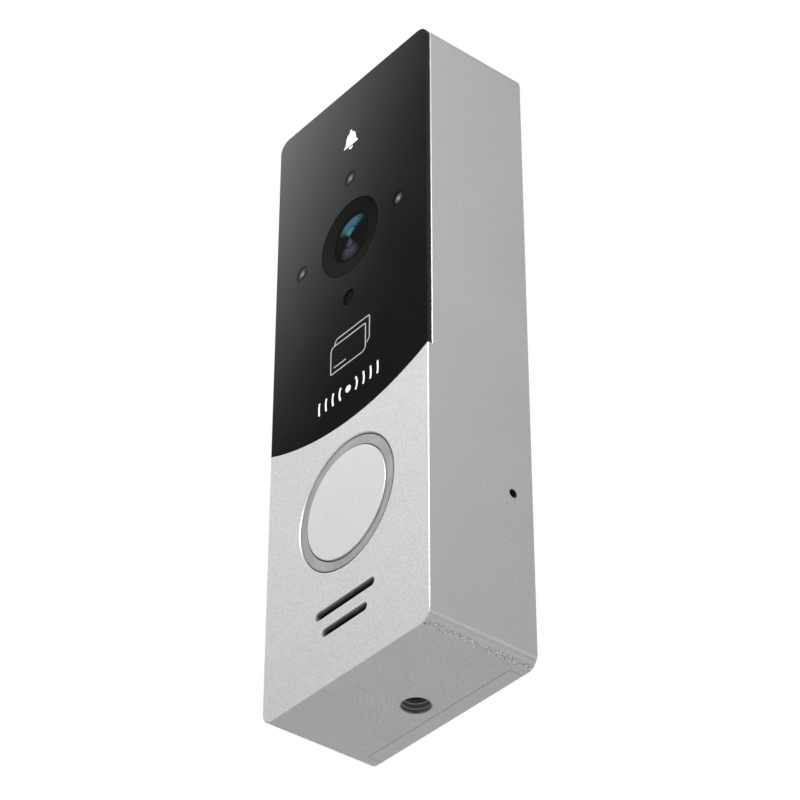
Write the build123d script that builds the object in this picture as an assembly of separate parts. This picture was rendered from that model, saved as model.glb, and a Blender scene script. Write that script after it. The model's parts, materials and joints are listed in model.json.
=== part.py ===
from build123d import *
from math import cos, radians, sin
import os

# A slim surface-mounted video doorbell, built as its separate pieces.
# The origin is the centre of the back, on the wall: +X is right, +Z is up and the
# front faces -Y. "Depth" is the distance from the wall, so depth d lies at y = -d.
# All sizes are in millimetres.

# Outer body
WIDTH, HEIGHT, DEPTH = 48.0, 142.0, 25.0
CORNER_R = 2.8
WALL = 1.6
FRONT_INNER = 22.6               # inside of the front wall
EDGE_CHAMFER = 0.15
GAP = 0.1                        # between pieces that fit together
BOTTOM = -HEIGHT / 2
INNER_X, INNER_Z = WIDTH / 2 - WALL, HEIGHT / 2 - WALL

# Front window: the body's outline above a shallow arc
WINDOW_THICK = 0.8
WINDOW_SEAT = DEPTH - WINDOW_THICK
RIM_CHAMFER = 0.4
ARC_SIDE_Z, ARC_MIDDLE_Z = -10.15, -14.95
ARC_RISE = ARC_SIDE_Z - ARC_MIDDLE_Z
ARC_R = ((WIDTH / 2) ** 2 + ARC_RISE**2) / (2 * ARC_RISE)
TAPE_THICK, TAPE_INSET = 0.2, 0.9
OPENING_X = 20.5                 # hole in the front wall behind the window
OPENING_LOW, OPENING_HIGH = -7.5, 56.5

# Camera, infrared lamps and light sensor
CAMERA_Z = 30.5
HOOD_R, HOOD_FRONT = 8.85, 24.9
HOOD_HOLE_R = HOOD_R + GAP
LENS_R, LENS_EDGE, LENS_APEX = 5.4, 24.3, 25.0
BARREL_R, BARREL_HEAD_R, BARREL_FRONT = 6.0, 7.0, 24.2
LAMP_CIRCLE_R, LAMP_R = 15.3, 0.95
SLEEVE_R, LAMP_HOLE_R = 1.7, 1.75
LAMP_BOARD_BACK, LAMP_BOARD_FRONT = 19.8, 20.8
CAMERA_BOARD_SIZE, CAMERA_POST = 32.0, 13.6

# Call button
BUTTON_Z = -33.55
BUTTON_HOLE_R = 14.0
RING_OUTER_R, RING_INNER_R, RING_FLANGE_R = 13.9, 11.75, 14.9
RING_BACK, RING_FRONT = 21.2, 24.75
CAP_R, CAP_BACK, CAP_FRONT, CAP_CHAMFER = 11.6, 23.4, 25.05, 0.1
CARRIER_R, CARRIER_FLANGE_R, CARRIER_BACK = 11.3, 12.4, 20.15
FLANGE_FRONT = 20.9
SPRING_SEAT = 21.6
GUIDE_BACK = 19.6
BUTTON_BOARD_BACK, BUTTON_BOARD_FRONT = 15.0, 16.2
BUTTON_BOARD_Z = (-47.1, -18.1)
BUTTON_SCREWS = [(x, z) for x in (-17.5, 17.5) for z in (-45.0, -20.3)]
RING_LIGHTS, RING_LIGHT_R = 8, 14.0

# Speaker, behind two slots in the front
SPEAKER_Z, SPEAKER_R = -58.2, 9.0
SLOTS = [(-55.04, 17.2, 1.85), (-59.38, 13.1, 1.8)]    # height, length, width
LINER = 0.28
GRILLE_BACK, MESH_BACK = 21.5, 21.2
BASKET_FRONT, BASKET_FLANGE_BACK = 20.3, 19.4
MAGNET_BACK, MAGNET_FRONT = 12.8, 15.0
CLAMP_SCREWS = [(x, -57.5) for x in (-16.5, 16.5)]

# Microphone, behind a hole in the right side
MIC_DEPTH, MIC_Z, MIC_HOLE_R = 4.75, -35.6, 0.97
SNOUT_R, SNOUT_BORE_R, SNOUT_TIP_X, SOUND_HOLE_R = 0.94, 0.76, 23.85, 0.35
MIC_CAPSULE_DEPTH, MIC_CAPSULE_R = 5.4, 1.6
BOOT_INNER_X, BOOT_HALF_Z, BOOT_FRONT = 19.4, 2.9, 7.7

# Inner frame and boards
FRAME_BACK, FRAME_FRONT = 18.4, 19.8
FRAME_Z = (-16.2, 63.8)
FRAME_SCREWS = [(x, z) for x in (-19.3, 19.3) for z in (-13.6, 60.5)]
BOARD_BACK, BOARD_FRONT = 8.4, 10.0
CAMERA_BOARD_FRONT = 9.6
BOARD_Z = (-58.2, 9.5)
BOARD_X = 21.2
BOARD_LOW_SCREWS = [(x, -51.5) for x in (-19.0, 19.0)]
BOARD_HIGH_SCREWS = [(x, 5.0) for x in (-18.6, 18.6)]

# Back: cover, seal, wall bracket and the screw that locks the panel to it
COVER_BACK, COVER_FRONT = 1.5, 2.7
LEDGE_BACK, LEDGE_FRONT, LEDGE_WIDTH = 3.3, 4.5, 1.4
COVER_Z = (-60.2, 65.2)
COVER_SCREWS = [(x, z) for x in (-18.4, 18.4) for z in (-45.5, 57.5)]
BULKHEAD = 1.2
BRACKET_THICK = 1.2
WALL_SCREW_Z, WALL_SCREW_R = 30.0, 2.2
CUP_R, CUP_FLOOR = 4.6, 4.2      # room in the cover for each wall screw's head
HEADER_Z = -15.0
HEADER_WELL = (22.0, 10.0)
LIP_DEPTH, LIP_X = 3.2, 19.9
LOCK_DEPTH, LOCK_HOLE_R = 8.2, 2.97
LOCK_TAB_Z = (-65.8, -64.2)
POCKET_FLOOR = 11.8

SCREW_HOLE_R = 0.85
SCREW_CLEARANCE_R = 1.15


def slab(outline, back, front):
    """Extrude an outline, drawn as seen from the front, between two depths."""
    return extrude(Plane.XZ.offset(back) * outline, front - back)


def box(x_span, z_span, back, front, corner=0.0):
    """A block between two x values, two heights and two depths."""
    size_x, size_z = x_span[1] - x_span[0], z_span[1] - z_span[0]
    outline = RectangleRounded(size_x, size_z, corner) if corner else Rectangle(size_x, size_z)
    return slab(Pos(sum(x_span) / 2, sum(z_span) / 2) * outline, back, front)


def disc(radius, back, front, x=0.0, z=0.0):
    return slab(Pos(x, z) * Circle(radius), back, front)


def ring(outer, inner, back, front, x=0.0, z=0.0):
    return slab(Pos(x, z) * (Circle(outer) - Circle(inner)), back, front)


def discs(places, radius, back, front):
    return [disc(radius, back, front, x, z) for x, z in places]


def turned(profile, x=0.0, z=0.0):
    """Turn a closed (radius, depth) profile about an axis that runs front to back."""
    outline = make_face(Polyline(*[(r, -d) for r, d in profile], close=True))
    return Pos(x, 0, z) * revolve(outline, Axis.Y)


def upright(radius, z_span, depth, x=0.0):
    """A round bar along Z."""
    bar = Cylinder(radius, z_span[1] - z_span[0], align=(Align.CENTER, Align.CENTER, Align.MIN))
    return Pos(x, -depth, z_span[0]) * bar


def crosswise(radius, x_span, depth, z):
    """A round bar along X."""
    bar = Cylinder(radius, x_span[1] - x_span[0], align=(Align.CENTER, Align.CENTER, Align.MIN))
    return Pos(x_span[0], -depth, z) * Rot(0, 90, 0) * bar


def group(solids):
    """Separate solids that share one node."""
    return Compound(children=list(solids))


def screw(x, z, seat, head_r, head_h, shank_r, tip):
    """A cross-head screw driven from the back; its head ends at the seat."""
    back = seat - head_h
    body = disc(head_r, back, seat, x, z) + disc(shank_r, seat, tip, x, z)
    arm, arm_width, recess = 1.2 * head_r, 0.3 * head_r, back + 0.6 * head_h
    for size_x, size_z in ((arm, arm_width), (arm_width, arm)):
        body -= slab(Pos(x, z) * Rectangle(size_x, size_z), back, recess)
    return body


def screws(places, seat, head_r, head_h, shank_r, tip):
    return group(screw(x, z, seat, head_r, head_h, shank_r, tip) for x, z in places)


def ribbon(points, bend, thickness, width, x=0.0):
    """A flat cable along (depth, height) points, with its width along X."""
    route = FilletPolyline(*[(-d, z) for d, z in points], radius=bend)
    strip = trace(route, thickness)
    return Pos(x - width / 2, 0, 0) * extrude(Plane.YZ * strip, width)


def wire(points, bend, radius):
    """A round wire through 3-D points, as straight runs joined by arcs."""
    route = FilletPolyline(*points, radius=bend)
    return sweep(Plane(route @ 0, z_dir=route % 0) * Circle(radius), path=route)


def body_outline(inset=0.0):
    return RectangleRounded(WIDTH - 2 * inset, HEIGHT - 2 * inset, CORNER_R - inset)


def arc_disc(inset=0.0):
    """The large circle whose lower edge is the window's lower edge."""
    return Pos(0, ARC_MIDDLE_Z + ARC_R) * Circle(ARC_R - inset)


def outline_edges(solid, depth):
    """The edges at one depth that lie on the body's own outline."""
    def on_outline(edge):
        points = [edge @ t for t in (0, 0.5, 1)]
        middle = points[1]
        level = all(abs(p.Y + depth) < 0.01 for p in points)
        return level and (abs(middle.X) > WIDTH / 2 - 1 or abs(middle.Z) > HEIGHT / 2 - 1)
    return [edge for edge in solid.edges() if on_outline(edge)]


def round_edges(solid, radius, depth):
    """The circular edges of one radius at one depth."""
    circles = solid.edges().filter_by(GeomType.CIRCLE)
    return [e for e in circles if abs(e.radius - radius) < 0.01 and abs((e @ 0).Y + depth) < 0.01]


def lamp_places():
    """The three infrared lamps: above, left and right of the camera."""
    return [(LAMP_CIRCLE_R * cos(radians(a)), CAMERA_Z + LAMP_CIRCLE_R * sin(radians(a)))
            for a in (90, 180, 0)]


def slot(length, width, z, back, front):
    return slab(Pos(0, z) * SlotOverall(length, width), back, front)


# ---- Housing, window and back ----

def housing_shell():
    rear = slab(body_outline(), 0, WINDOW_SEAT)
    rear = chamfer(outline_edges(rear, WINDOW_SEAT), RIM_CHAMFER)
    lower = slab(body_outline() - arc_disc(), FRONT_INNER, DEPTH)
    lower = chamfer(outline_edges(lower, DEPTH), EDGE_CHAMFER)
    cavity = RectangleRounded(2 * INNER_X, 2 * INNER_Z, CORNER_R - WALL)
    return rear + lower - slab(cavity, 0, FRONT_INNER)


def housing_ribs():
    """The seal's ledge, the bulkheads above and below it, and the hook's catch."""
    ledge_x, low, high = INNER_X - LEDGE_WIDTH, COVER_Z[0] + 0.2, COVER_Z[1] + 0.2
    ribs = [box((side * ledge_x, side * INNER_X)[::side], (low, high), LEDGE_BACK, LEDGE_FRONT)
            for side in (-1, 1)]
    ribs.append(box((-INNER_X, INNER_X), (high - BULKHEAD, high), LEDGE_BACK, FRONT_INNER))
    ribs.append(box((-INNER_X, INNER_X), (low, low + BULKHEAD), LEDGE_BACK, POCKET_FLOOR + 0.8))
    ribs.append(box((-INNER_X, INNER_X), (-INNER_Z, low), POCKET_FLOOR, POCKET_FLOOR + 0.8))
    ribs.append(box((-8, 8), (INNER_Z - 1.4, INNER_Z), 2.2, 3.6))
    return ribs


def housing_bosses():
    """Screw bosses, each with its radius and the depth of its back face."""
    bosses = discs(FRAME_SCREWS, 2.3, FRAME_FRONT, FRONT_INNER)
    bosses += discs(BUTTON_SCREWS, 2.3, RING_BACK, FRONT_INNER)
    bosses += discs(BOARD_LOW_SCREWS, 2.3, BOARD_FRONT, FRONT_INNER)
    bosses += discs(CLAMP_SCREWS, 2.1, BASKET_FLANGE_BACK, FRONT_INNER)
    bosses += discs(COVER_SCREWS, 2.4, LEDGE_BACK, 8.0)
    for x, z in COVER_SCREWS:
        wall_x = INNER_X if x > 0 else -INNER_X
        bosses.append(box(sorted((x, wall_x)), (z - 2, z + 2), LEDGE_BACK, 8.0))
    return bosses


def housing_holes():
    pilot_end = FRONT_INNER + 0.9
    holes = discs(FRAME_SCREWS, SCREW_HOLE_R, FRAME_FRONT, pilot_end)
    holes += discs(BUTTON_SCREWS, SCREW_HOLE_R, RING_BACK, pilot_end)
    holes += discs(BOARD_LOW_SCREWS, SCREW_HOLE_R, BOARD_FRONT, 17.0)
    holes += discs(CLAMP_SCREWS, SCREW_HOLE_R, BASKET_FLANGE_BACK, pilot_end)
    holes += discs(COVER_SCREWS, SCREW_HOLE_R, LEDGE_BACK, 7.6)
    holes.append(box((-OPENING_X, OPENING_X), (OPENING_LOW, OPENING_HIGH), FRONT_INNER, DEPTH, 2))
    tape_seat = body_outline(TAPE_INSET) & arc_disc(TAPE_INSET)
    holes.append(slab(tape_seat, WINDOW_SEAT - TAPE_THICK, WINDOW_SEAT))
    holes.append(disc(BUTTON_HOLE_R, FRONT_INNER, DEPTH, 0, BUTTON_Z))
    holes += [slot(length, width, z, FRONT_INNER, DEPTH) for z, length, width in SLOTS]
    holes.append(crosswise(MIC_HOLE_R, (INNER_X, WIDTH / 2), MIC_DEPTH, MIC_Z))
    boot_z = (MIC_Z - BOOT_HALF_Z - GAP, MIC_Z + BOOT_HALF_Z + GAP)
    holes.append(box((INNER_X - LEDGE_WIDTH, INNER_X), boot_z, LEDGE_BACK, LEDGE_FRONT))
    holes.append(upright(LOCK_HOLE_R, (BOTTOM, -INNER_Z), LOCK_DEPTH))
    holes.append(box((-LIP_X - GAP, LIP_X + GAP), (BOTTOM, -INNER_Z), 0, LIP_DEPTH + GAP))
    return holes


def housing():
    shell = housing_shell()
    for piece in housing_ribs() + housing_bosses():
        shell += piece
    for hole in housing_holes():
        shell -= hole
    return chamfer(round_edges(shell, BUTTON_HOLE_R, DEPTH), 0.2)


def front_window():
    pane = slab(body_outline() & arc_disc(0.05), WINDOW_SEAT, DEPTH)
    pane = chamfer(outline_edges(pane, DEPTH), 0.12)
    pane -= disc(HOOD_HOLE_R, WINDOW_SEAT, DEPTH, 0, CAMERA_Z)
    for x, z in lamp_places() + [(0, CAMERA_Z - LAMP_CIRCLE_R)]:
        pane -= disc(LAMP_HOLE_R, WINDOW_SEAT, DEPTH, x, z)
    return pane


def window_tape():
    """A frame of adhesive foam between the window and the rim of the housing."""
    inset = TAPE_INSET + GAP
    strip = slab(body_outline(inset) & arc_disc(inset), WINDOW_SEAT - TAPE_THICK, WINDOW_SEAT)
    hole = 0.3
    middle = box((-OPENING_X - hole, OPENING_X + hole), (OPENING_LOW - hole, OPENING_HIGH + hole),
                 WINDOW_SEAT - TAPE_THICK, WINDOW_SEAT, 2 + hole)
    return strip - middle


def rear_cover():
    half_x = INNER_X - 0.2
    cover = box((-half_x, half_x), COVER_Z, COVER_BACK, COVER_FRONT, 1.0)
    for z in (-WALL_SCREW_Z, WALL_SCREW_Z):
        cover += disc(CUP_R + 1, COVER_FRONT, CUP_FLOOR + 1, 0, z)
        cover -= disc(CUP_R, COVER_BACK, CUP_FLOOR, 0, z)
    well_x, well_z = HEADER_WELL
    place = Pos(0, HEADER_Z)
    cover += slab(place * RectangleRounded(well_x + 2, well_z + 2, 1.5), COVER_FRONT, 7.4)
    cover -= slab(place * RectangleRounded(well_x, well_z, 0.8), COVER_BACK, 7.4)
    for x, z in COVER_SCREWS:
        cover += disc(2.6, COVER_FRONT, LEDGE_BACK, x, z)
        cover -= disc(2.4, COVER_BACK, COVER_BACK + 0.8, x, z)
        cover -= disc(SCREW_CLEARANCE_R, COVER_BACK, LEDGE_BACK, x, z)
    return cover


def rear_gasket():
    outer_x, low, high = INNER_X - 0.2, COVER_Z[0], COVER_Z[1]
    cord = box((-outer_x, outer_x), (low, high), COVER_FRONT, LEDGE_BACK, 1.0)
    inner_x = outer_x - 1.0
    return cord - box((-inner_x, inner_x), (low + 1, high - 1), COVER_FRONT, LEDGE_BACK, 0.5)


def wall_bracket():
    """A folded steel plate: a hook at its top, a tapped tab and a closing lip at its foot."""
    half_x, half_z = INNER_X - 0.5, INNER_Z - 0.3
    plate = box((-half_x, half_x), (-half_z, half_z), 0, BRACKET_THICK, 1.5)
    plate -= slab(Pos(0, HEADER_Z) * RectangleRounded(24, 12, 2), 0, BRACKET_THICK)
    for z in (-WALL_SCREW_Z, WALL_SCREW_Z):
        plate -= disc(WALL_SCREW_R, 0, BRACKET_THICK, 0, z)
    plate += box((-7, 7), (66.2, 67.4), 0, 4.9)
    plate += box((-7, 7), (66.2, 69.0), 3.8, 4.9)
    plate += box((-6, 6), LOCK_TAB_Z, 0, 11.2)
    plate += box((-LIP_X, LIP_X), (BOTTOM, -half_z + 0.5), 0, LIP_DEPTH)
    return plate - upright(1.5, LOCK_TAB_Z, LOCK_DEPTH)


def turned_upright(profile):
    """Turn a closed (radius, height) profile about the locking screw's axis."""
    outline = make_face(Plane.XZ * Polyline(*profile, close=True))
    return Pos(0, -LOCK_DEPTH, 0) * revolve(outline, Axis.Z)


def screw_well():
    """A stepped bush that lines the hole for the locking screw."""
    return turned_upright([
        (2.93, -70.9), (2.93, -INNER_Z), (3.5, -INNER_Z), (3.5, -66.0), (1.6, -66.0),
        (1.6, -66.9), (2.4, -66.9), (2.4, -69.1), (2.58, -69.25), (2.58, -70.1),
        (2.74, -70.25), (2.74, -70.9)])


def security_screw():
    body = turned_upright([
        (0, -68.7), (1.9, -68.7), (2.28, -68.3), (2.28, -66.9), (1.44, -66.9),
        (1.44, -62.8), (1.0, -62.3), (0, -62.3)])
    socket = extrude(RegularPolygon(1.15, 6), 1.2)
    return body - Pos(0, -LOCK_DEPTH, -68.7) * socket


def rear_cover_screws():
    return screws(COVER_SCREWS, COVER_BACK + 0.8, 2.2, 0.8, 0.8, 7.2)


def header_seal():
    """A rubber frame between the cover's wire well and the main board."""
    well_x, well_z = HEADER_WELL
    outline = RectangleRounded(well_x + 2, well_z + 2, 1.5) - RectangleRounded(well_x, well_z, 0.8)
    return slab(Pos(0, HEADER_Z) * outline, 7.4, BOARD_BACK)


# ---- Inner frame and boards ----

def inner_frame():
    frame = box((-22.0, 22.0), FRAME_Z, FRAME_BACK, FRAME_FRONT, 1.5)
    frame -= disc(8.4, FRAME_BACK, FRAME_FRONT, 0, CAMERA_Z)
    frame -= box((-12, 12), (53.5, 59.5), FRAME_BACK, FRAME_FRONT, 1.5)
    for x, z in camera_posts():
        frame += disc(2.2, CAMERA_BOARD_FRONT, FRAME_BACK, x, z)
        frame -= disc(SCREW_HOLE_R, CAMERA_BOARD_FRONT, 16.0, x, z)
    for x, z in BOARD_HIGH_SCREWS:
        frame += disc(2.3, BOARD_FRONT, FRAME_BACK, x, z)
        frame -= disc(SCREW_HOLE_R, BOARD_FRONT, 16.5, x, z)
    for x, z in FRAME_SCREWS:
        frame -= disc(SCREW_CLEARANCE_R, FRAME_BACK, FRAME_FRONT, x, z)
    return frame


def camera_posts():
    return [(x, CAMERA_Z + dz) for x in (-CAMERA_POST, CAMERA_POST)
            for dz in (-CAMERA_POST, CAMERA_POST)]


def frame_screws():
    return screws(FRAME_SCREWS, FRAME_BACK, 1.9, 1.2, 0.8, 23.2)


def main_board():
    board = box((-BOARD_X, BOARD_X), BOARD_Z, BOARD_BACK, BOARD_FRONT, 1.0)
    for hole in discs(BOARD_LOW_SCREWS + BOARD_HIGH_SCREWS, SCREW_CLEARANCE_R,
                      BOARD_BACK, BOARD_FRONT):
        board -= hole
    return board


def board_screws():
    """The same screw holds the main board and the camera board."""
    main = [screw(x, z, BOARD_BACK, 1.9, 1.2, 0.8, 15.5)
            for x, z in BOARD_LOW_SCREWS + BOARD_HIGH_SCREWS]
    camera = [screw(x, z, BOARD_BACK, 1.9, 1.2, 0.8, 15.5) for x, z in camera_posts()]
    return group(main + camera)


def board_chips():
    """Processor, memory, sound and power chips on the front of the main board."""
    chips = [(-7.0, -36.0, 12.0, 12.0, 1.4), (7.5, -33.0, 9.0, 7.0, 1.1),
             (7.5, -42.5, 5.0, 6.0, 1.5), (-12.5, -50.0, 5.0, 5.0, 1.2), (11.0, 2.5, 7.0, 7.0, 4.2)]
    return group(box((x - sx / 2, x + sx / 2), (z - sz / 2, z + sz / 2),
                     BOARD_FRONT, BOARD_FRONT + tall, 0.3) for x, z, sx, sz, tall in chips)


def lock_relay():
    relay = box((-15.6, -5.6), (-13.0, 4.6), BOARD_FRONT, 17.4)
    return chamfer(relay.edges().group_by(Axis.Y)[0], 0.5)


def capacitors():
    return group(turned([(0, BOARD_FRONT), (3.2, BOARD_FRONT), (3.2, 16.8), (2.9, 17.1),
                         (0, 17.1)], x, -8.5) for x in (8.2, 15.4))


def wire_headers():
    """Two plug sockets on the back of the board, open towards the wall."""
    sockets = []
    for x, ways in ((-4.6, 4), (6.0, 3)):
        length = 2.54 * ways
        body = box((x - length / 2, x + length / 2), (HEADER_Z - 3, HEADER_Z + 3), 4.4, BOARD_BACK)
        body -= box((x - length / 2 + 0.6, x + length / 2 - 0.6),
                    (HEADER_Z - 2.4, HEADER_Z + 2.4), 4.4, 7.8)
        for way in range(ways):
            pin_x = x + 2.54 * (way - (ways - 1) / 2)
            body += box((pin_x - 0.32, pin_x + 0.32), (HEADER_Z - 0.32, HEADER_Z + 0.32), 5.0, 7.8)
        sockets.append(body)
    return group(sockets)


# ---- Camera, lamps and card reader ----

def camera_board():
    half = CAMERA_BOARD_SIZE / 2
    board = box((-half, half), (CAMERA_Z - half, CAMERA_Z + half),
                BOARD_BACK, CAMERA_BOARD_FRONT, 2.0)
    for x, z in camera_posts():
        board -= disc(SCREW_CLEARANCE_R, BOARD_BACK, CAMERA_BOARD_FRONT, x, z)
    return board


def image_sensor():
    return box((-4, 4), (CAMERA_Z - 4, CAMERA_Z + 4), CAMERA_BOARD_FRONT, 10.8)


def lens_holder():
    half, room = 7.5, 5.5
    holder = box((-half, half), (CAMERA_Z - half, CAMERA_Z + half), CAMERA_BOARD_FRONT, 18.2, 1.0)
    holder -= box((-room, room), (CAMERA_Z - room, CAMERA_Z + room), CAMERA_BOARD_FRONT, 13.0)
    return holder - disc(BARREL_R + 0.02, 13.0, 18.2, 0, CAMERA_Z)


def ir_filter():
    return box((-5.3, 5.3), (CAMERA_Z - 5.3, CAMERA_Z + 5.3), 12.5, 13.0)


def lens_barrel():
    seat = LENS_R + 0.05
    return turned([
        (BARREL_R, 13.4), (BARREL_R, 19.0), (BARREL_HEAD_R, 19.0), (BARREL_HEAD_R, BARREL_FRONT),
        (seat, BARREL_FRONT), (seat, 23.0), (4.7, 23.0), (3.65, 21.2), (3.65, 17.6), (2.6, 17.6),
        (2.6, 15.2), (4.0, 13.4)], 0, CAMERA_Z)


def dome(radius, back, edge, apex, z):
    """A lens: flat at the back, with a round front that rises from its edge to its apex."""
    sag = apex - edge
    curve_r = (radius**2 + sag**2) / (2 * sag)
    middle_r = radius / 2
    middle_depth = apex - curve_r + (curve_r**2 - middle_r**2) ** 0.5
    front = ThreePointArc((radius, -edge), (middle_r, -middle_depth), (0, -apex))
    sides = Polyline((0, -apex), (0, -back), (radius, -back), (radius, -edge))
    return Pos(0, 0, z) * revolve(make_face(front + sides), Axis.Y)


def lens_front_element():
    return dome(LENS_R, 23.0, LENS_EDGE, LENS_APEX, CAMERA_Z)


def lens_inner_element():
    return dome(3.6, 17.6, 19.4, 20.6, CAMERA_Z)


def lens_hood():
    """A matt black ring that fills the window's hole round the lens."""
    inner = LENS_R + 0.15
    return turned([
        (BARREL_HEAD_R + 0.05, 22.0), (10.4, 22.0), (10.4, 23.8), (HOOD_R, 23.8),
        (HOOD_R, HOOD_FRONT - 0.1), (HOOD_R - 0.1, HOOD_FRONT), (HOOD_R - 0.5, HOOD_FRONT),
        (inner + 0.3, 24.6), (inner, 24.45), (inner, 24.25), (BARREL_HEAD_R + 0.05, 24.25)],
        0, CAMERA_Z)


def hood_seal():
    return ring(10.4, HOOD_R + 0.05, 23.8, WINDOW_SEAT, 0, CAMERA_Z)


def ir_led_board():
    return ring(18.5, 9.6, LAMP_BOARD_BACK, LAMP_BOARD_FRONT, 0, CAMERA_Z)


def ir_leds():
    lamps = []
    for x, z in lamp_places():
        stem = disc(LAMP_R, LAMP_BOARD_FRONT, 23.9, x, z)
        lamps.append(stem + (Pos(x, -23.9, z) * Sphere(LAMP_R)))
    return group(lamps)


def led_sleeves():
    return group(turned([(1.0, 21.4), (SLEEVE_R, 21.4), (SLEEVE_R, 24.8), (SLEEVE_R - 0.1, 24.9),
                         (1.25, 24.9), (1.0, 24.5)], x, z) for x, z in lamp_places())


def light_sensor():
    z = CAMERA_Z - LAMP_CIRCLE_R
    return turned([(0, LAMP_BOARD_FRONT), (1.65, LAMP_BOARD_FRONT), (1.65, 24.65), (1.5, 24.8),
                   (0, 24.8)], 0, z)


def camera_cable():
    plugs = [box((-5, 5), span, 6.9, BOARD_BACK) for span in ((16.9, 20.1), (3.9, 7.1))]
    strip = ribbon([(7.6, 16.85), (7.6, 14.6), (6.6, 12.0), (7.6, 9.4), (7.6, 7.15)], 1.5, 0.3, 8.0)
    return group(plugs + [strip])


def coil_former():
    former = box((-17.5, 17.5), (-5.8, 11.2), FRAME_FRONT, 22.3, 2.0)
    return former - box((-13.0, 13.0), (-1.5, 6.9), FRAME_FRONT, 22.3, 1.5)


def reader_coil():
    turns = RectangleRounded(33.6, 15.6, 3.0) - RectangleRounded(28.6, 10.6, 1.5)
    return slab(Pos(0, 2.7) * turns, 22.3, 23.3)


# ---- Call button ----

def light_ring():
    outer, inner = RING_OUTER_R, RING_INNER_R
    return turned([
        (inner, RING_BACK), (RING_FLANGE_R, RING_BACK), (RING_FLANGE_R, 22.3), (outer, 22.3),
        (outer, RING_FRONT - 0.15), (outer - 0.15, RING_FRONT), (inner + 0.15, RING_FRONT),
        (inner, RING_FRONT - 0.15)], 0, BUTTON_Z)


def light_ring_gasket():
    return ring(RING_FLANGE_R, BUTTON_HOLE_R + 0.05, 22.3, FRONT_INNER, 0, BUTTON_Z)


def button_cap():
    return turned([(0, CAP_BACK), (CAP_R, CAP_BACK), (CAP_R, CAP_FRONT - CAP_CHAMFER),
                   (CAP_R - CAP_CHAMFER, CAP_FRONT), (0, CAP_FRONT)], 0, BUTTON_Z)


def button_carrier():
    """Holds the cap; its flange stops behind the light ring, its stem works the switch."""
    stem_r, pocket_r = 1.8, 5.6
    return turned([
        (0, CARRIER_BACK), (stem_r, CARRIER_BACK), (stem_r, SPRING_SEAT), (pocket_r, SPRING_SEAT),
        (pocket_r, CARRIER_BACK), (CARRIER_FLANGE_R, CARRIER_BACK),
        (CARRIER_FLANGE_R, FLANGE_FRONT), (CARRIER_R, FLANGE_FRONT), (CARRIER_R, CAP_BACK),
        (0, CAP_BACK)], 0, BUTTON_Z)


def button_seal():
    return ring(CARRIER_FLANGE_R - 0.05, CARRIER_R + 0.05, FLANGE_FRONT, RING_BACK - 0.08,
                0, BUTTON_Z)


def button_spring():
    """A coil spring between the button board and the carrier."""
    wire_r, mean_r = 0.28, 4.5
    low, high = BUTTON_BOARD_FRONT + wire_r + 0.02, SPRING_SEAT - wire_r - 0.02
    coil = Helix(pitch=(high - low) / 3.5, height=high - low, radius=mean_r)
    section = Plane(coil @ 0, z_dir=coil % 0) * Circle(wire_r)
    solid = sweep(section, path=coil, is_frenet=True)
    return Pos(0, -low, BUTTON_Z) * Rot(90, 0, 0) * solid


def button_guide():
    """A plate that clamps the light ring and guides the carrier's flange."""
    guide = box((-20, 20), (-48.95, -18.1), GUIDE_BACK, RING_BACK, 1.5)
    for x, z in BUTTON_SCREWS:
        guide += disc(2.3, BUTTON_BOARD_FRONT, GUIDE_BACK, x, z)
        guide -= disc(SCREW_CLEARANCE_R, BUTTON_BOARD_FRONT, RING_BACK, x, z)
    guide -= disc(CARRIER_FLANGE_R + 0.2, GUIDE_BACK, RING_BACK, 0, BUTTON_Z)
    for x, z in ring_light_places():
        guide -= disc(0.7, GUIDE_BACK, RING_BACK, x, z)
    return guide


def ring_light_places():
    step = 360 / RING_LIGHTS
    angles = [radians(step * (n + 0.5)) for n in range(RING_LIGHTS)]
    return [(RING_LIGHT_R * cos(a), BUTTON_Z + RING_LIGHT_R * sin(a)) for a in angles]


def ring_leds():
    return group(box((x - 0.8, x + 0.8), (z - 0.5, z + 0.5),
                     BUTTON_BOARD_FRONT, BUTTON_BOARD_FRONT + 0.8) for x, z in ring_light_places())


def button_board():
    board = box((-20, 20), BUTTON_BOARD_Z, BUTTON_BOARD_BACK, BUTTON_BOARD_FRONT, 1.5)
    for x, z in BUTTON_SCREWS:
        board -= disc(SCREW_CLEARANCE_R, BUTTON_BOARD_BACK, BUTTON_BOARD_FRONT, x, z)
    return board


def button_board_screws():
    return screws(BUTTON_SCREWS, BUTTON_BOARD_BACK, 1.9, 1.2, 0.8, 22.8)


def call_switch():
    body = box((-3.1, 3.1), (BUTTON_Z - 3.1, BUTTON_Z + 3.1), BUTTON_BOARD_FRONT, 19.4, 0.4)
    return body - disc(1.75, 17.0, 19.4, 0, BUTTON_Z)


def switch_plunger():
    return turned([(0, 17.8), (1.6, 17.8), (1.6, 19.9), (1.4, 20.1), (0, 20.1)], 0, BUTTON_Z)


def button_cable():
    plugs = [box((-5, 5), (-23.6, -20.4), 13.5, BUTTON_BOARD_BACK),
             box((-5, 5), (-17.1, -13.9), BOARD_FRONT, 11.4)]
    strip = ribbon([(14.2, -20.35), (14.2, -15.5), (11.45, -15.5)], 1.4, 0.3, 8.0)
    return group(plugs + [strip])


# ---- Speaker and microphone ----

def speaker_grille():
    """An insert behind the front wall, with a raised liner in each slot."""
    insert = box((-10.6, 10.6), (-62.0, -52.4), GRILLE_BACK, FRONT_INNER, 0.8)
    for z, length, width in SLOTS:
        insert += slot(length - 0.06, width - 0.06, z, FRONT_INNER, DEPTH - 0.25)
    for z, length, width in SLOTS:
        insert -= slot(length - 2 * LINER, width - 2 * LINER, z, GRILLE_BACK, DEPTH)
    return insert


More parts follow.
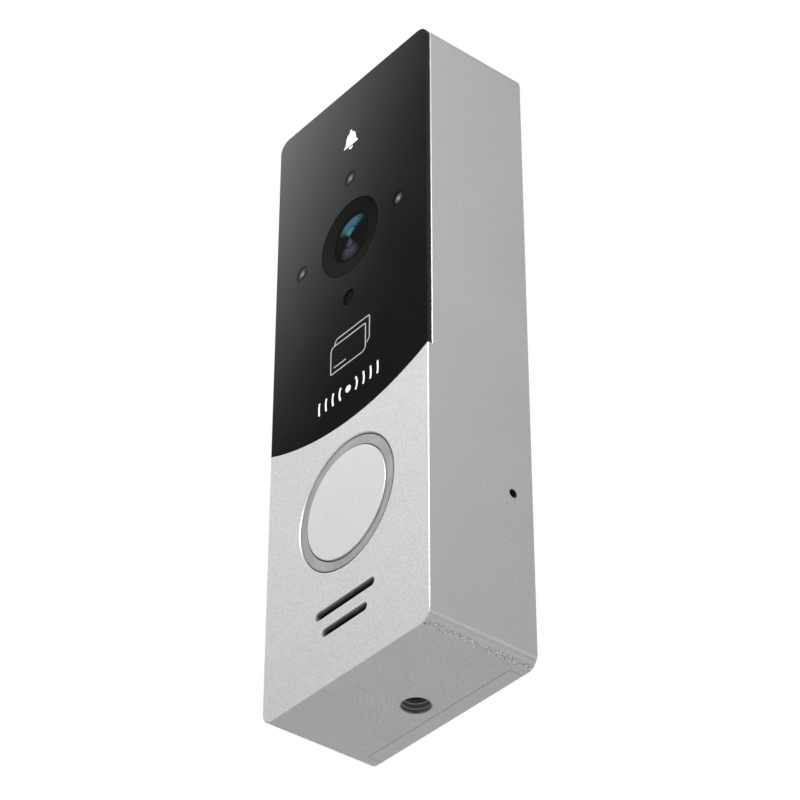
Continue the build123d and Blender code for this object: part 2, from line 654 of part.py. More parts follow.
def speaker_mesh():
    """A thin sheet with rows of small holes behind each slot."""
    mesh = box((-10.2, 10.2), (-61.7, -52.7), MESH_BACK, GRILLE_BACK)
    pitch = 1.2
    for z, length, _ in SLOTS:
        count = int((length - 1.6) / pitch)
        holes = [place * Circle(0.26) for place in GridLocations(pitch, 0.62, count, 2)]
        mesh -= slab(Pos(0, z) * Sketch(children=holes), MESH_BACK, GRILLE_BACK)
    return mesh


def speaker_gasket():
    return ring(SPEAKER_R, 7.9, BASKET_FRONT, MESH_BACK, 0, SPEAKER_Z)


def speaker_basket():
    return turned([(7.7, BASKET_FRONT), (SPEAKER_R, BASKET_FRONT),
                   (SPEAKER_R, BASKET_FLANGE_BACK), (7.9, BASKET_FLANGE_BACK),
                   (6.9, MAGNET_FRONT), (6.1, MAGNET_FRONT), (7.1, 19.2), (7.7, 19.6)],
                  0, SPEAKER_Z)


def speaker_magnet():
    return turned([(0, MAGNET_BACK), (6.6, MAGNET_BACK), (6.6, MAGNET_FRONT), (3.3, MAGNET_FRONT),
                   (3.3, 13.4), (2.1, 13.4), (2.1, MAGNET_FRONT), (0, MAGNET_FRONT)],
                  0, SPEAKER_Z)


def speaker_cone():
    return turned([(0, 18.0), (1.4, 17.8), (2.5, 17.35), (2.9, 17.3), (6.2, 19.9), (6.8, 19.9),
                   (6.8, 19.6), (6.35, 19.6), (2.9, 16.9), (2.5, 16.9), (1.4, 17.5), (0, 17.7)],
                  0, SPEAKER_Z)


def voice_coil():
    return ring(2.9, 2.5, 13.9, 16.9, 0, SPEAKER_Z)


def speaker_clamp():
    """A strap that holds the speaker's flange against the front."""
    arms = box((-18.9, 18.9), (-59.8, -55.2), 18.2, BASKET_FLANGE_BACK, 2.2)
    clamp = arms + disc(SPEAKER_R, 18.2, BASKET_FLANGE_BACK, 0, SPEAKER_Z)
    clamp -= disc(8.05, 18.2, BASKET_FLANGE_BACK, 0, SPEAKER_Z)
    for hole in discs(CLAMP_SCREWS, SCREW_CLEARANCE_R, 18.2, BASKET_FLANGE_BACK):
        clamp -= hole
    return clamp


def speaker_screws():
    return screws(CLAMP_SCREWS, 18.2, 1.9, 1.2, 0.8, 22.8)


def microphone_capsule():
    return crosswise(MIC_CAPSULE_R, (19.6, 21.1), MIC_CAPSULE_DEPTH, MIC_Z)


def microphone_boot():
    """A rubber block that seals the capsule, with a snout that lines the hole in the side."""
    span = (MIC_Z - BOOT_HALF_Z, MIC_Z + BOOT_HALF_Z)
    boot = box((BOOT_INNER_X, INNER_X - 0.05), span, LEDGE_BACK, BOOT_FRONT)
    boot -= crosswise(MIC_CAPSULE_R + 0.02, (BOOT_INNER_X, 21.1), MIC_CAPSULE_DEPTH, MIC_Z)
    boot += crosswise(SNOUT_R, (INNER_X - 0.1, SNOUT_TIP_X), MIC_DEPTH, MIC_Z)
    boot -= crosswise(SNOUT_BORE_R, (22.0, SNOUT_TIP_X), MIC_DEPTH, MIC_Z)
    return boot - crosswise(SOUND_HOLE_R, (21.1, 22.0), MIC_DEPTH, MIC_Z)


def audio_leads():
    """Two wires to the speaker and two to the microphone."""
    wires = [wire([(x, -16.8, -50.9), (x, -16.8, -48.4), (x, -BOARD_FRONT - 0.02, -48.4)], 1.2, 0.35)
             for x in (-1.5, 1.5)]
    wires += [wire([(19.55, -MIC_CAPSULE_DEPTH, z), (17.8, -MIC_CAPSULE_DEPTH, z),
                    (17.8, -BOARD_BACK + 0.02, z)], 0.9, 0.25)
              for z in (MIC_Z - 0.7, MIC_Z + 0.7)]
    return group(wires)


PARTS = [
    housing, front_window, window_tape, rear_cover, rear_gasket, wall_bracket, screw_well,
    security_screw, rear_cover_screws, header_seal, inner_frame, frame_screws, main_board,
    board_screws, board_chips, lock_relay, capacitors, wire_headers, camera_board, image_sensor,
    lens_holder, ir_filter, lens_barrel, lens_front_element, lens_inner_element, lens_hood,
    hood_seal, ir_led_board, ir_leds, led_sleeves, light_sensor, camera_cable, coil_former,
    reader_coil, light_ring, light_ring_gasket, button_cap, button_carrier, button_seal,
    button_spring, button_guide, ring_leds, button_board, button_board_screws, call_switch,
    switch_plunger, button_cable, speaker_grille, speaker_mesh, speaker_gasket, speaker_basket,
    speaker_magnet, speaker_cone, voice_coil, speaker_clamp, speaker_screws,
    microphone_capsule, microphone_boot, audio_leads]

os.makedirs("parts", exist_ok=True)
for make in PARTS:
    export_step(make(), f"parts/{make.__name__}.step")
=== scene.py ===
"""Looks for a wall-mounted video doorbell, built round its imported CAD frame."""

import json
import math

import bmesh
import bpy
from mathutils import Matrix, Vector


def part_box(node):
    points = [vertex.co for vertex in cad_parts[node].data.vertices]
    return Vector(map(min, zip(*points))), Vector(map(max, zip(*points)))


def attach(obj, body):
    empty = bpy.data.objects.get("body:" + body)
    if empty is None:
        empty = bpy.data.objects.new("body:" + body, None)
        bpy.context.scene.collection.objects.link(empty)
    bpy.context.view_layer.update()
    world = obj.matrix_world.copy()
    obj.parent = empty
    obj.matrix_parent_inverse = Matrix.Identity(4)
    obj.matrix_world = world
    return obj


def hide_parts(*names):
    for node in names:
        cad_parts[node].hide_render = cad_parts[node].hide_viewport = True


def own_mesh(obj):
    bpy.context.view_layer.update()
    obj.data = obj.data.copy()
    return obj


MM = 0.001

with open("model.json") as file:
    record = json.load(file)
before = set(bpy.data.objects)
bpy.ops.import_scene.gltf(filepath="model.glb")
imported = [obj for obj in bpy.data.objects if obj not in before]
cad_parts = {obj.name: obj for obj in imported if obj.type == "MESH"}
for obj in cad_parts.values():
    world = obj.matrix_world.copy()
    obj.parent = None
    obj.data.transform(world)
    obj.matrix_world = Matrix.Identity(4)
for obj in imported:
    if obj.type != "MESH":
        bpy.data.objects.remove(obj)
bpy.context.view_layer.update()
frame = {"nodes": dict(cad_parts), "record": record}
NODES = frame["nodes"]
SLOT_OF = {part["node"]: part["material_slot"] for part in frame["record"]["subparts"]}
scene = bpy.context.scene
scene.view_settings.view_transform = "Standard"
scene.view_settings.look = "None"

GLASS_FRONT = -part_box("front_window")[0].y / MM     # depth of the black window's face
LENS_LOW, LENS_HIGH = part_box("lens_front_element")
LENS_Z = (LENS_LOW.z + LENS_HIGH.z) / 2 / MM
LENS_R = 5.4
LENS_FACE_IOR = 1.01                   # low, as the sheen is painted
REFLECTION_RIM_LIFT = 0.35                      # the sheen's rim lies this far above the lens's middle
HOOD_REACH = 9                         # half the width over which the hood changes tone
BUTTON_LOW, BUTTON_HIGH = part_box("button_cap")
BUTTON_Z = (BUTTON_LOW.z + BUTTON_HIGH.z) / 2 / MM
RING_EDGES = 11.75, 13.9               # radii of the light ring's two visible edges
RING_SHADOW = 0.15, 0.12               # how far its dark edges are shifted right and up
GRILLE_MOUTH = -24.15, -24.05          # where the slot liners turn from grey to black, in Y
# Where the housing's painted highlight line, painted highlight halo and band of painted glints
# lie.
HIGHLIGHT_LINE_TURN, HIGHLIGHT_HALO_TURN, GLINT_BAND_TURN = 19, 38, 64    # degrees round the lower corners from the side


# ---- Materials ----

class Look:
    """A node material round one Principled shader, patterned in the frame's own metres."""

    def __init__(self, name, **sockets):
        self.material = bpy.data.materials.new(name)
        self.material.use_nodes = True
        self.tree = self.material.node_tree
        self.shader = self.tree.nodes["Principled BSDF"]
        self.place = self.node("ShaderNodeTexCoord").outputs["Object"]
        for socket, value in sockets.items():
            self.shader.inputs[socket.replace("_", " ")].default_value = value

    def node(self, kind, **values):
        node = self.tree.nodes.new(kind)
        for key, value in values.items():
            setattr(node, key, value)
        return node

    def link(self, out, into):
        self.tree.links.new(out, into)

    def stretched(self, scale, turn=(0, 0, 0), shift=(0, 0, 0)):
        mapping = self.node("ShaderNodeMapping")
        mapping.inputs["Location"].default_value = shift
        mapping.inputs["Rotation"].default_value = turn
        mapping.inputs["Scale"].default_value = scale
        self.link(self.place, mapping.inputs["Vector"])
        return mapping.outputs["Vector"]

    def noise(self, size_mm, detail=2.0, rough=0.5, place=None):
        node = self.node("ShaderNodeTexNoise")
        node.inputs["Scale"].default_value = 1 / (size_mm * MM)
        node.inputs["Detail"].default_value = detail
        node.inputs["Roughness"].default_value = rough
        self.link(place or self.place, node.inputs["Vector"])
        return node.outputs["Fac"]

    def cells(self, size_mm, feature="F1", distance="EUCLIDEAN", random=1.0, place=None):
        node = self.node("ShaderNodeTexVoronoi", feature=feature)
        if feature != "DISTANCE_TO_EDGE":
            node.distance = distance
        node.inputs["Scale"].default_value = 1 / (size_mm * MM)
        node.inputs["Randomness"].default_value = random
        self.link(place or self.place, node.inputs["Vector"])
        return node.outputs["Distance"]

    def bands(self, pitch_mm, kind="BANDS", direction="Z", wobble=0.0, place=None):
        node = self.node("ShaderNodeTexWave", wave_type=kind, wave_profile="SIN")
        if kind == "BANDS":
            node.bands_direction = direction
        else:
            node.rings_direction = direction
        node.inputs["Scale"].default_value = math.pi / 10 / (pitch_mm * MM)
        node.inputs["Distortion"].default_value = wobble
        node.inputs["Detail"].default_value = 1.0
        self.link(place or self.place, node.inputs["Vector"])
        return node.outputs["Fac"]

    def ramp(self, fac, stops, smooth=True):
        node = self.node("ShaderNodeValToRGB")
        node.color_ramp.interpolation = "EASE" if smooth else "LINEAR"
        while len(node.color_ramp.elements) < len(stops):
            node.color_ramp.elements.new(0.5)
        for element, (at, color) in zip(node.color_ramp.elements, stops):
            element.position = at
            element.color = (*color, 1)
        self.link(fac, node.inputs["Fac"])
        return node.outputs["Color"]

    def span(self, fac, low, high, start=0.3, end=0.7):
        node = self.node("ShaderNodeMapRange")
        for socket, value in (("From Min", start), ("From Max", end),
                              ("To Min", low), ("To Max", high)):
            node.inputs[socket].default_value = value
        self.link(fac, node.inputs["Value"])
        return node.outputs["Result"]

    def sum(self, first, second, share=1.0):
        node = self.node("ShaderNodeMath", operation="MULTIPLY_ADD")
        node.inputs[1].default_value = share
        self.link(second, node.inputs[0])
        self.link(first, node.inputs[2])
        return node.outputs["Value"]

    def mix(self, factor, under, over, blend="MIX"):
        """Blends two colours. Sockets are linked, and plain values are set."""
        node = self.node("ShaderNodeMix", data_type="RGBA", blend_type=blend)
        for socket, value in ((node.inputs["Factor"], factor), (node.inputs[6], under),
                              (node.inputs[7], over)):
            if isinstance(value, bpy.types.NodeSocket):
                self.link(value, socket)
            else:
                socket.default_value = value
        return node.outputs[2]

    def color(self, fac, dark, light, start=0.3, end=0.7, socket="Base Color"):
        self.link(self.ramp(fac, [(start, dark), (end, light)]), self.shader.inputs[socket])

    def rough(self, fac, low, high):
        self.link(self.span(fac, low, high), self.shader.inputs["Roughness"])

    def bump(self, height, depth_mm, strength=1.0):
        node = self.node("ShaderNodeBump")
        node.inputs["Strength"].default_value = strength
        node.inputs["Distance"].default_value = depth_mm * MM
        self.link(height, node.inputs["Height"])
        self.link(node.outputs["Normal"], self.shader.inputs["Normal"])


def grainy(name, dark, light, rough, size=0.5, grain=0.12, depth=0.01, **sockets):
    """Moulded, painted or cast: clouded colour, uneven gloss and a fine grain."""
    look = Look(name, **sockets)
    cloud = look.noise(size * 8, 3)
    fine = look.noise(grain, 3, 0.6)
    look.color(look.sum(cloud, fine, 0.35), dark, light, 0.4, 0.95)
    look.rough(look.noise(size, 2), *rough)
    look.bump(look.sum(fine, look.noise(size, 2), 0.5), depth)
    return look


def blasted(name, dark, light, rough, grain, depth, **sockets):
    """Sand-blasted, anodised metal: tiny pits that sparkle and a barely clouded tone."""
    look = Look(name, **sockets)
    pits = look.noise(grain, 2.5, 0.7)
    cloud = look.noise(16.0, 2)
    tone = look.ramp(look.sum(pits, cloud, 0.08), [(0.38, dark), (0.72, light)])
    look.link(tone, look.shader.inputs["Base Color"])
    look.rough(look.noise(grain * 2.2, 2), *rough)
    look.bump(pits, depth)
    look.tone = tone
    return look


def brushed(name, dark, light, rough, pitch=0.12, depth=0.004, **sockets):
    """Drawn or turned metal with fine, uneven lines round the depth axis."""
    look = Look(name, **sockets)
    lines = look.noise(pitch, 2, 0.6, look.stretched((1, 12, 1)))
    cloud = look.noise(2.0, 2)
    look.color(look.sum(lines, cloud, 0.6), dark, light, 0.5, 1.1)
    look.rough(cloud, *rough)
    look.bump(lines, depth)
    return look


def grooved(name, dark, light, rough, pitch, depth, axis_z, **sockets):
    """Turned rings round an axis along the depth, at a given height."""
    look = Look(name, **sockets)
    centred = look.stretched((1, 1, 1), shift=(0, 0, -axis_z * MM))
    rings = look.bands(pitch, "RINGS", "Y", place=centred)
    fine = look.noise(0.1, 2, 0.6)
    look.color(look.sum(rings, fine, 0.7), dark, light, 0.4, 1.5)
    look.rough(look.noise(0.8, 2), *rough)
    look.bump(look.sum(rings, fine, 0.6), depth)
    return look


def fade(look, axis, start_mm, end_mm, start, end):
    """A grey factor that changes along X, Y or Z, from one place to another."""
    apart = look.node("ShaderNodeSeparateXYZ")
    look.link(look.place, apart.inputs["Vector"])
    return look.ramp(look.span(apart.outputs[axis], 0, 1, start_mm * MM, end_mm * MM),
                     [(0, (start,) * 3), (1, (end,) * 3)], smooth=False)


def toned(look, factor):
    """Multiplies the base colour by a factor."""
    link = look.shader.inputs["Base Color"].links[0]
    look.link(look.mix(1.0, link.from_socket, factor, "MULTIPLY"),
              look.shader.inputs["Base Color"])
    return look


def aluminium_body():
    """The housing: blasted all over, with a coarser band of painted glints round the lower
    corners, where the blast meets the curve, and a painted highlight line and halo above it."""
    look = blasted("aluminium_body", (0.55, 0.55, 0.55), (0.75, 0.75, 0.752), (0.42, 0.52),
                   0.22, 0.012, Metallic=0.45, IOR=1.5)
    normal = look.node("ShaderNodeTexCoord").outputs["Normal"]
    parts = look.node("ShaderNodeSeparateXYZ")
    look.link(normal, parts.inputs["Vector"])
    sideways = look.node("ShaderNodeMath", operation="ABSOLUTE")
    look.link(parts.outputs["X"], sideways.inputs[0])
    down = look.node("ShaderNodeMath", operation="MULTIPLY")
    down.inputs[1].default_value = -1.0
    look.link(parts.outputs["Z"], down.inputs[0])
    folded = look.node("ShaderNodeCombineXYZ")
    look.link(sideways.outputs["Value"], folded.inputs["X"])
    look.link(down.outputs["Value"], folded.inputs["Z"])

    def facing(degrees, inner, outer):
        toward = look.node("ShaderNodeVectorMath", operation="DOT_PRODUCT")
        turn = math.radians(degrees)
        toward.inputs[1].default_value = (math.cos(turn), 0, math.sin(turn))
        look.link(folded.outputs["Vector"], toward.inputs[0])
        return look.span(toward.outputs["Value"], 0.0, 1.0, math.cos(math.radians(outer)),
                         math.cos(math.radians(inner)))

    # Painted highlights and glints, set by which way the surface faces.
    painted_glints = look.ramp(look.noise(0.24, 2, 0.8), [
        (0.38, (0.20, 0.20, 0.20)), (0.50, (0.58, 0.58, 0.58)), (0.57, (1.0, 1.0, 1.0))])
    halo = look.ramp(look.noise(0.3, 2), [(0.3, (0.74, 0.74, 0.74)), (0.7, (0.82, 0.82, 0.82))])
    pale = look.ramp(look.noise(0.3, 2), [(0.3, (0.82, 0.82, 0.82)), (0.7, (0.92, 0.92, 0.92))])
    tone = look.mix(facing(HIGHLIGHT_HALO_TURN, 5, 20), look.tone, halo)
    tone = look.mix(facing(HIGHLIGHT_LINE_TURN, 2, 8), tone, pale)
    tone = look.mix(facing(GLINT_BAND_TURN, 9, 17), tone, painted_glints)
    look.link(tone, look.shader.inputs["Base Color"])
    return look


def aluminium_button():
    return blasted("aluminium_button", (0.63, 0.63, 0.63), (0.75, 0.75, 0.752), (0.40, 0.50),
                   0.16, 0.008, Metallic=0.45, IOR=1.5)


def black_glass():
    look = Look("black_glass", IOR=1.5)
    haze = look.noise(14.0, 3)
    look.color(haze, (0.0078, 0.0086, 0.0086), (0.0100, 0.0110, 0.0110))
    look.rough(look.noise(3.0, 4), 0.012, 0.035)
    look.bump(look.noise(22.0, 1), 0.002, 0.4)
    return look


def optical_glass():
    look = Look("optical_glass", IOR=1.6, Transmission_Weight=1.0)
    look.color(look.noise(2.5, 2), (0.25, 0.85, 0.95), (0.55, 0.60, 0.95), socket="Specular Tint")
    look.color(look.noise(4.0, 2), (0.90, 0.96, 0.96), (0.97, 0.99, 0.99))
    look.rough(look.noise(1.5, 3), 0.004, 0.02)
    return look


# Painted reflections of two studio lights in the lens coating, and the coating's dark ground.
COAT_DARK = (0.007, 0.007, 0.007)
REFLECTED_LILAC = (0.04, 0.045, 0.055)
REFLECTED_GREEN = (0.015, 0.05, 0.045)
REFLECTED_TEAL = (0.03, 0.10, 0.12)
REFLECTED_BLUE = (0.035, 0.09, 0.15)
REFLECTED_BRIGHT = (0.05, 0.15, 0.17)


def lens_face():
    """The coated front of the lens: dark, with a painted teal reflection above, a painted
    grey-lilac one below, painted shade towards the rim, and a thin painted dark circle for the rim
    of the next element."""
    look = Look("lens_face", IOR=LENS_FACE_IOR, Roughness=0.04)
    facing = look.stretched((1, 1, 1), turn=(math.radians(-90), 0, 0), shift=(0, -LENS_Z * MM, 0))
    flat = look.node("ShaderNodeVectorMath", operation="MULTIPLY")
    flat.inputs[1].default_value = (1, 1, 0)
    look.link(facing, flat.inputs[0])
    sweep = look.node("ShaderNodeTexGradient", gradient_type="RADIAL")
    look.link(flat.outputs["Vector"], sweep.inputs["Vector"])
    length = look.node("ShaderNodeVectorMath", operation="LENGTH")
    look.link(flat.outputs["Vector"], length.inputs[0])
    drift = look.sum(length.outputs["Value"], look.noise(2.2, 2), 0.0002)
    reach = look.span(drift, 0, 1, 0, LENS_R * MM)
    # Painted reflections of the two studio lights, in sectors round the lens.
    outer = look.ramp(sweep.outputs["Fac"], [
        (0.10, COAT_DARK), (0.18, REFLECTED_LILAC), (0.28, REFLECTED_LILAC), (0.36, COAT_DARK),
        (0.60, COAT_DARK), (0.68, REFLECTED_TEAL), (0.76, REFLECTED_BLUE), (0.84, REFLECTED_TEAL),
        (0.88, REFLECTED_GREEN), (0.92, COAT_DARK)], smooth=False)
    inner = look.ramp(sweep.outputs["Fac"], [
        (0.12, COAT_DARK), (0.20, REFLECTED_LILAC), (0.28, REFLECTED_LILAC), (0.36, COAT_DARK),
        (0.60, COAT_DARK), (0.66, REFLECTED_TEAL), (0.78, REFLECTED_BRIGHT), (0.86, REFLECTED_TEAL),
        (0.90, COAT_DARK)], smooth=False)
    both = look.mix(look.ramp(reach, [(0.44, (0, 0, 0)), (0.47, (1, 1, 1))]), inner, outer)
    raised = look.node("ShaderNodeVectorMath", operation="SUBTRACT")
    raised.inputs[1].default_value = (0, REFLECTION_RIM_LIFT * MM, 0)
    look.link(flat.outputs["Vector"], raised.inputs[0])
    rim = look.node("ShaderNodeVectorMath", operation="LENGTH")
    look.link(raised.outputs["Vector"], rim.inputs[0])
    rim_reach = look.span(rim.outputs["Value"], 0, 1, 0, LENS_R * MM)
    # Painted shade: darker in the very middle, in a thin circle and towards the rim.
    shade = look.ramp(reach, [(0.05, (0.4,) * 3), (0.20, (1,) * 3), (0.40, (1,) * 3),
                              (0.46, (0.4,) * 3), (0.55, (1,) * 3)])
    edge = look.ramp(rim_reach, [(0.70, (1,) * 3), (0.90, (0.6,) * 3), (1.0, (0.2,) * 3)],
                     smooth=False)
    painted = look.mix(1.0, both, look.mix(1.0, shade, edge, "MULTIPLY"), "MULTIPLY")
    look.link(look.mix(1.0, painted, (*COAT_DARK, 1), "LIGHTEN"),
              look.shader.inputs["Base Color"])
    look.rough(look.noise(1.5, 3), 0.02, 0.05)
    return look


def filter_glass():
    look = Look("filter_glass", IOR=1.52, Transmission_Weight=0.9)
    look.color(look.noise(3.0, 2), (0.55, 0.20, 0.28), (0.70, 0.32, 0.38))
    look.rough(look.noise(1.0, 2), 0.01, 0.04)
    look.bump(look.noise(5.0, 1), 0.001)
    return look


def foam_tape():
    look = Look("foam_tape")
    pores = look.cells(0.22)
    look.color(pores, (0.012, 0.012, 0.012), (0.045, 0.045, 0.046), 0.1, 0.8)
    look.rough(look.noise(0.5, 2), 0.85, 0.98)
    look.bump(pores, 0.05)
    return look


def black_rubber():
    return grainy("black_rubber", (0.012, 0.012, 0.013), (0.030, 0.030, 0.031), (0.62, 0.78),
                  0.6, 0.10, 0.008)


def black_plastic():
    return grainy("black_plastic", (0.011, 0.011, 0.011), (0.024, 0.024, 0.024), (0.5, 0.64),
                  0.5, 0.14, 0.010)


def grey_plastic():
    return grainy("grey_plastic", (0.17, 0.17, 0.18), (0.24, 0.24, 0.25), (0.42, 0.55),
                  0.6, 0.14, 0.008)


def light_guide():
    """Frosted diffuser: milky, with painted shade along both edges where it meets its gaps."""
    look = grainy("light_guide", (0.24, 0.24, 0.245), (0.325, 0.325, 0.33), (0.42, 0.55),
                  0.7, 0.11, 0.010, Subsurface_Weight=0.25, Subsurface_Scale=0.6 * MM)
    look.shader.inputs["Subsurface Radius"].default_value = (1.0, 1.0, 0.9)
    radius = look.node("ShaderNodeVectorMath", operation="LENGTH")
    middle = (RING_SHADOW[0] * MM, 0, -(BUTTON_Z + RING_SHADOW[1]) * MM)
    look.link(look.stretched((1, 0, 1), shift=middle), radius.inputs[0])
    across_ring = look.span(radius.outputs["Value"], 0, 1, *(r * MM for r in RING_EDGES))
    # Painted shade along the ring's inner and outer edges.
    return toned(look, look.ramp(across_ring, [(0.00, (0.25,) * 3), (0.10, (1,) * 3),
                                               (0.84, (1,) * 3), (0.98, (0.22,) * 3)]))


def lamp_resin():
    look = Look("lamp_resin", IOR=1.5, Coat_Weight=0.4, Coat_Roughness=0.12)
    swirl = look.noise(0.5, 2, 0.5)
    look.color(swirl, (0.20, 0.19, 0.22), (0.34, 0.32, 0.37))
    look.rough(look.noise(0.3, 2), 0.30, 0.42)
    look.bump(swirl, 0.01)
    return look


def led_white():
    look = Look("led_white", Subsurface_Weight=0.3, Subsurface_Scale=0.4 * MM)
    square = look.cells(0.8, distance="CHEBYCHEV", random=0.2)
    look.color(square, (0.85, 0.72, 0.20), (0.88, 0.87, 0.80), 0.2, 0.5)
    look.rough(look.noise(0.4, 2), 0.25, 0.40)
    look.bump(square, 0.02)
    return look


def zinc_steel():
    return brushed("zinc_steel", (0.50, 0.52, 0.55), (0.72, 0.73, 0.75), (0.24, 0.40),
                   Metallic=1.0)


def black_screw():
    return brushed("black_screw", (0.025, 0.025, 0.027), (0.075, 0.075, 0.08), (0.32, 0.48),
                   Metallic=0.8)


def bracket_steel():
    """Silver powder coat: an orange-peel skin with fine metal flake."""
    look = Look("bracket_steel", Metallic=0.45)
    peel = look.noise(0.9, 2, 0.4)
    flake = look.cells(0.16)
    look.color(look.sum(flake, peel, 0.5), (0.76, 0.76, 0.762), (0.62, 0.62, 0.62), 0.3, 0.9)
    look.rough(look.noise(0.6, 2), 0.42, 0.54)
    look.bump(look.sum(peel, flake, 0.15), 0.012)
    return look


def circuit_board():
    """Solder mask over fine copper tracks, with a scatter of tinned vias."""
    look = Look("circuit_board", IOR=1.5, Coat_Weight=0.4, Coat_Roughness=0.12)
    flat = look.stretched((1, 0, 1))
    tracks = look.cells(2.6, "DISTANCE_TO_EDGE", random=0.85, place=flat)
    edges = look.ramp(tracks, [(0.03, (1, 1, 1)), (0.05, (0, 0, 0))], smooth=False)
    vias = look.cells(3.4, random=0.7, place=flat)
    dots = look.ramp(vias, [(0.09, (1, 1, 1)), (0.11, (0, 0, 0))], smooth=False)
    mask = look.ramp(look.noise(6.0, 2), [(0.3, (0.008, 0.060, 0.026)),
                                          (0.7, (0.012, 0.085, 0.036))])
    track = look.mix(edges, mask, (0.03, 0.19, 0.08, 1))
    look.link(look.mix(dots, track, (0.75, 0.62, 0.30, 1)), look.shader.inputs["Base Color"])
    look.link(dots, look.shader.inputs["Metallic"])
    look.rough(look.noise(1.5, 2), 0.24, 0.36)
    look.bump(edges, 0.02)
    return look


def chip_epoxy():
    return grainy("chip_epoxy", (0.016, 0.016, 0.018), (0.038, 0.038, 0.042), (0.45, 0.62),
                  0.4, 0.09, 0.008)


def relay_case():
    return grainy("relay_case", (0.035, 0.07, 0.18), (0.055, 0.10, 0.25), (0.25, 0.36),
                  0.8, 0.2, 0.004, Coat_Weight=0.2)


def capacitor_can():
    return brushed("capacitor_can", (0.52, 0.52, 0.54), (0.76, 0.76, 0.78), (0.22, 0.34),
                   0.1, 0.003, Metallic=0.9)


def header_nylon():
    return grainy("header_nylon", (0.70, 0.69, 0.62), (0.84, 0.83, 0.76), (0.40, 0.52),
                  0.8, 0.2, 0.006, Subsurface_Weight=0.15, Subsurface_Scale=0.5 * MM)


def copper_coil():
    """Enamelled wire, wound turn by turn."""
    look = Look("copper_coil", Metallic=0.9, Coat_Weight=0.4, Coat_Roughness=0.15)
    turns = look.bands(0.3, direction="Y")
    look.color(turns, (0.30, 0.10, 0.035), (0.80, 0.38, 0.18), 0.1, 0.9)
    look.rough(look.noise(0.6, 2), 0.25, 0.40)
    look.bump(turns, 0.08)
    return look


def ferrite():
    return grainy("ferrite", (0.045, 0.045, 0.05), (0.10, 0.10, 0.11), (0.5, 0.7), 0.4, 0.08,
                  0.012)


def cone_paper():
    """Formed film with shallow rings and short fibres."""
    look = Look("cone_paper")
    rings = look.bands(0.8, "RINGS", "Y", place=look.stretched((1, 1, 1), shift=(0, 0, 58.2 * MM)))
    fibres = look.noise(0.12, 3, 0.7, look.stretched((1, 1, 4)))
    look.color(fibres, (0.035, 0.035, 0.036), (0.09, 0.09, 0.09))
    look.rough(look.noise(0.7, 2), 0.6, 0.8)
    look.bump(look.sum(rings, fibres, 0.3), 0.05)
    return look


def cable_film():
    """Flat flexible cable: printed conductors under a clear film."""
    look = Look("cable_film", IOR=1.55, Coat_Weight=0.5, Coat_Roughness=0.1)
    lines = look.bands(0.8, direction="X")
    look.color(lines, (0.78, 0.76, 0.70), (0.40, 0.36, 0.28), 0.35, 0.65)
    look.rough(look.noise(0.9, 2), 0.22, 0.34)
    look.bump(lines, 0.03)
    return look


def lead_wire():
    return grainy("lead_wire", (0.30, 0.015, 0.015), (0.46, 0.03, 0.025), (0.35, 0.48), 0.5, 0.1,
                  0.006)


def spring_steel():
    return brushed("spring_steel", (0.48, 0.48, 0.50), (0.70, 0.70, 0.72), (0.18, 0.30),
                   0.08, 0.003, Metallic=1.0)


def matt_ring():
    """The hood round the lens: matt black with fine anti-glare steps, with painted light making it
    paler at the left and painted shade darker to the right.
    """
    look = grooved("matt_ring", (0.0095, 0.0092, 0.0090), (0.0150, 0.0146, 0.0142), (0.6, 0.75),
                   0.22, 0.004, LENS_Z, IOR=1.10)
    # Painted light and shade across the hood, from left to right.
    return toned(look, fade(look, "X", -HOOD_REACH, HOOD_REACH, 0.85, 0.10))


def glossy_sleeve():
    """Rubber pressed flush with the window and as glossy as it."""
    return grainy("glossy_sleeve", (0.0065, 0.0065, 0.0065), (0.0100, 0.0100, 0.0100),
                  (0.03, 0.06), 0.4, 0.1, 0.0004, IOR=1.45)


def grille_plastic():
    """The slot liners: dark grey at the mouth, with painted shade turning them black further in.
    """
    look = grainy("grille_plastic", (0.09, 0.09, 0.092), (0.14, 0.14, 0.142), (0.45, 0.6),
                  0.5, 0.14, 0.010)
    # Painted shade, darkening the liners further into the slots.
    return toned(look, fade(look, "Y", *GRILLE_MOUTH, 1.0, 0.03))


def smoked_window():
    """The light sensor's cover: a dark tint with a dull face."""
    return grainy("smoked_window", (0.0035, 0.0040, 0.0040), (0.0055, 0.0060, 0.0060),
                  (0.5, 0.6), 0.5, 0.1, 0.002, IOR=1.07)


def lamp_face():
    """Clear resin over an infrared emitter: a painted pale glow in the middle that dies away to a
    painted dark rim.
    """
    look = Look("lamp_face", IOR=1.25)
    spot = look.node("ShaderNodeAttribute", attribute_name="painted_glow_radius")
    drift = look.sum(spot.outputs["Fac"], look.noise(0.35, 2), 0.12)
    # Painted glow and shade: pale in the middle, dark towards the rim.
    fall = look.ramp(drift, [(0.06, (0.27, 0.27, 0.285)), (0.34, (0.12, 0.12, 0.126)),
                             (0.62, (0.032, 0.032, 0.034)), (0.92, (0.010, 0.010, 0.010))])
    look.link(fall, look.shader.inputs["Base Color"])
    look.rough(look.noise(0.3, 2), 0.30, 0.42)
    return look


SLOT_LOOKS = [aluminium_body, aluminium_button, black_glass, optical_glass, filter_glass,
              foam_tape, black_rubber, black_plastic, grey_plastic, light_guide, lamp_resin,
              led_white, zinc_steel, black_screw, bracket_steel, circuit_board, chip_epoxy,
              relay_case, capacitor_can, header_nylon, copper_coil, ferrite, cone_paper,
              cable_film, lead_wire, spring_steel]
LOOKS = {make.__name__: make().material for make in SLOT_LOOKS}


def dress(obj, material):
    if not obj.material_slots:
        obj.data.materials.append(material)
    for slot in obj.material_slots:
        slot.material = material


